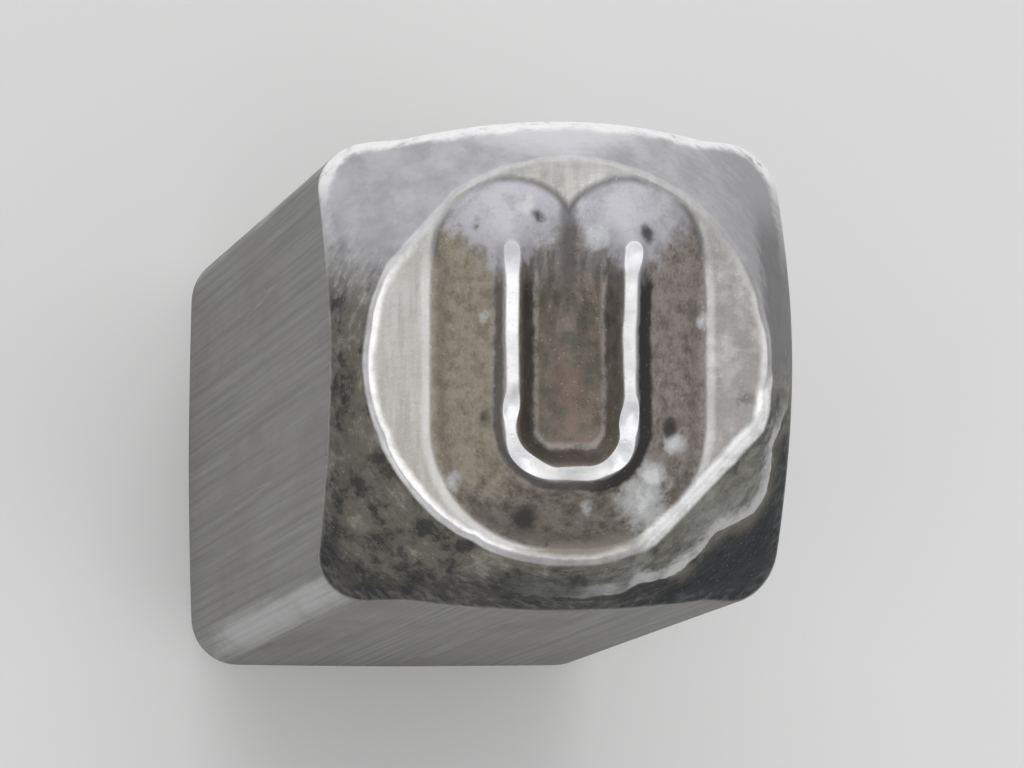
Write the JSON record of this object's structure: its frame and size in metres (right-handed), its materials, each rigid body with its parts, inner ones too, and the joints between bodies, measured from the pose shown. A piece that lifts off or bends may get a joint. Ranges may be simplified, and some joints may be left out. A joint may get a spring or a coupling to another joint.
{
  "type": "steel letter punch",
  "caption": "Hand punch that stamps a letter: a square steel bar with a chamfered struck end and a turned cone whose round face carries a raised U.",
  "frame": {"origin": "centre of the struck end's flat face, which is the bottom of the punch as it stands", "axes": "+Z along the bar from the struck end to the letter, +Y towards the top of the letter, +X square to both across the bar"},
  "size_m": [0.01, 0.0106, 0.065],
  "materials": {
    "tool_steel": "dull grey tool steel, turned at both ends, with worn bright edges and light brown stains"
  },
  "bodies": {
    "root": {"letter_punch": "tool_steel"}
  },
  "joints": []
}
